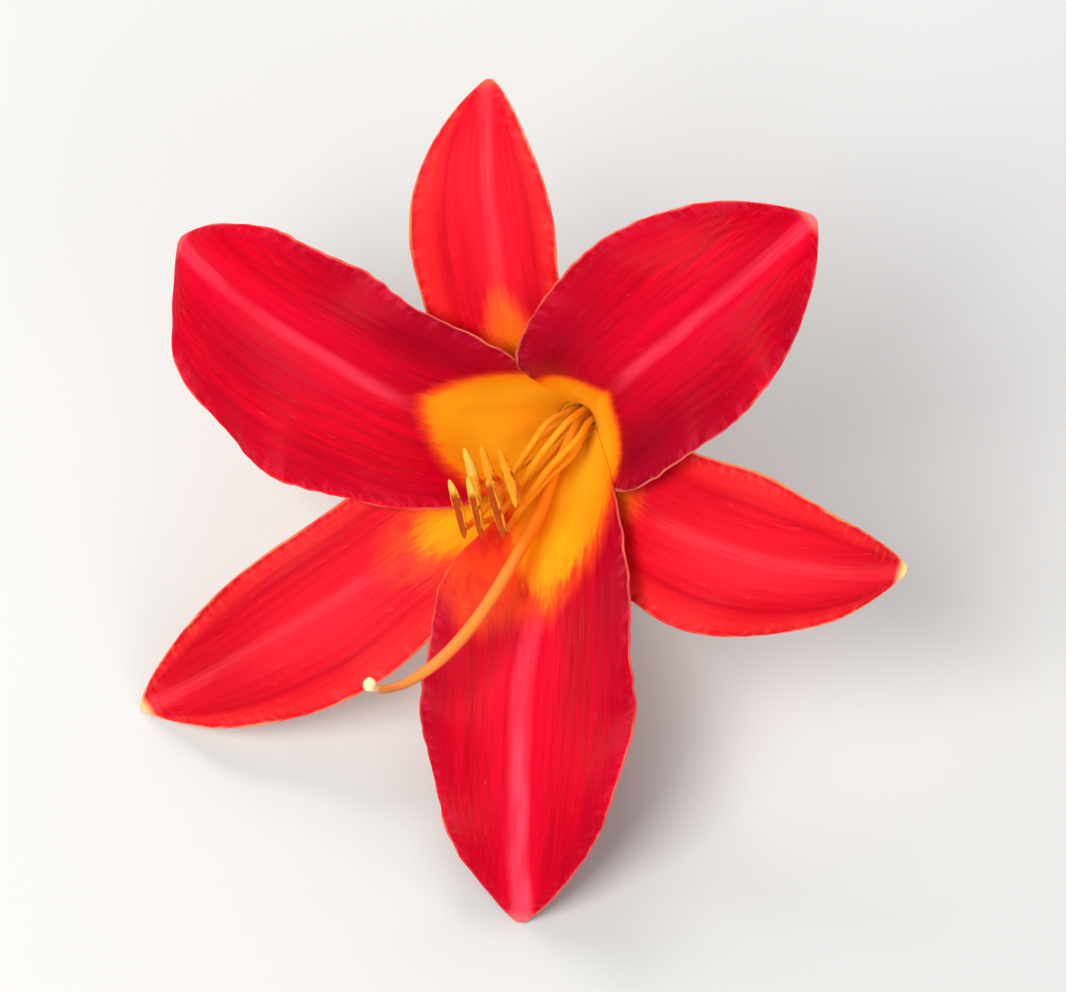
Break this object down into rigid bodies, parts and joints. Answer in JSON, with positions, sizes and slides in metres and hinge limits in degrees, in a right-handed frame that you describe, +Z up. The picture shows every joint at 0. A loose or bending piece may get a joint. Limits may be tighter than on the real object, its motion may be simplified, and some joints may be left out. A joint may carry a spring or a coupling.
{
  "type": "daylily flower",
  "caption": "Open red daylily bloom with a golden throat, picked and laid on a surface: flared tepals with waved edges, stamens, a long curved style, the tube and a short cut stalk.",
  "frame": {"origin": "on the surface that the bloom lies on, under the middle of its bounding box", "axes": "+Z up from the surface, -Y the way the open face looks as it lies (also up, at about 45 degrees), +X to the right of someone who looks into the face"},
  "size_m": [0.1272, 0.0958, 0.0818],
  "materials": {
    "pedicel": "satin green plant stalk",
    "tube": "satin yellow-green flower tube",
    "petal": "velvety crimson petal with a golden base",
    "sepal": "satin scarlet sepal with a golden base",
    "filament": "satin golden-orange stalk",
    "anther": "matt dark brown-red with yellow pollen",
    "pistil": "satin orange style with a pale stigma"
  },
  "bodies": {
    "root": {"pedicel": "pedicel", "perianth_tube": "tube", "sepal_top": "sepal", "sepal_lower_left": "sepal", "sepal_right": "sepal", "petal_upper_right": "petal", "petal_upper_left": "petal", "petal_bottom": "petal", "filament_1": "filament", "filament_2": "filament", "filament_3": "filament", "filament_4": "filament", "filament_5": "filament", "filament_6": "filament", "anther_1": "anther", "anther_2": "anther", "anther_3": "anther", "anther_4": "anther", "anther_5": "anther", "anther_6": "anther", "pistil": "pistil"}
  },
  "joints": []
}
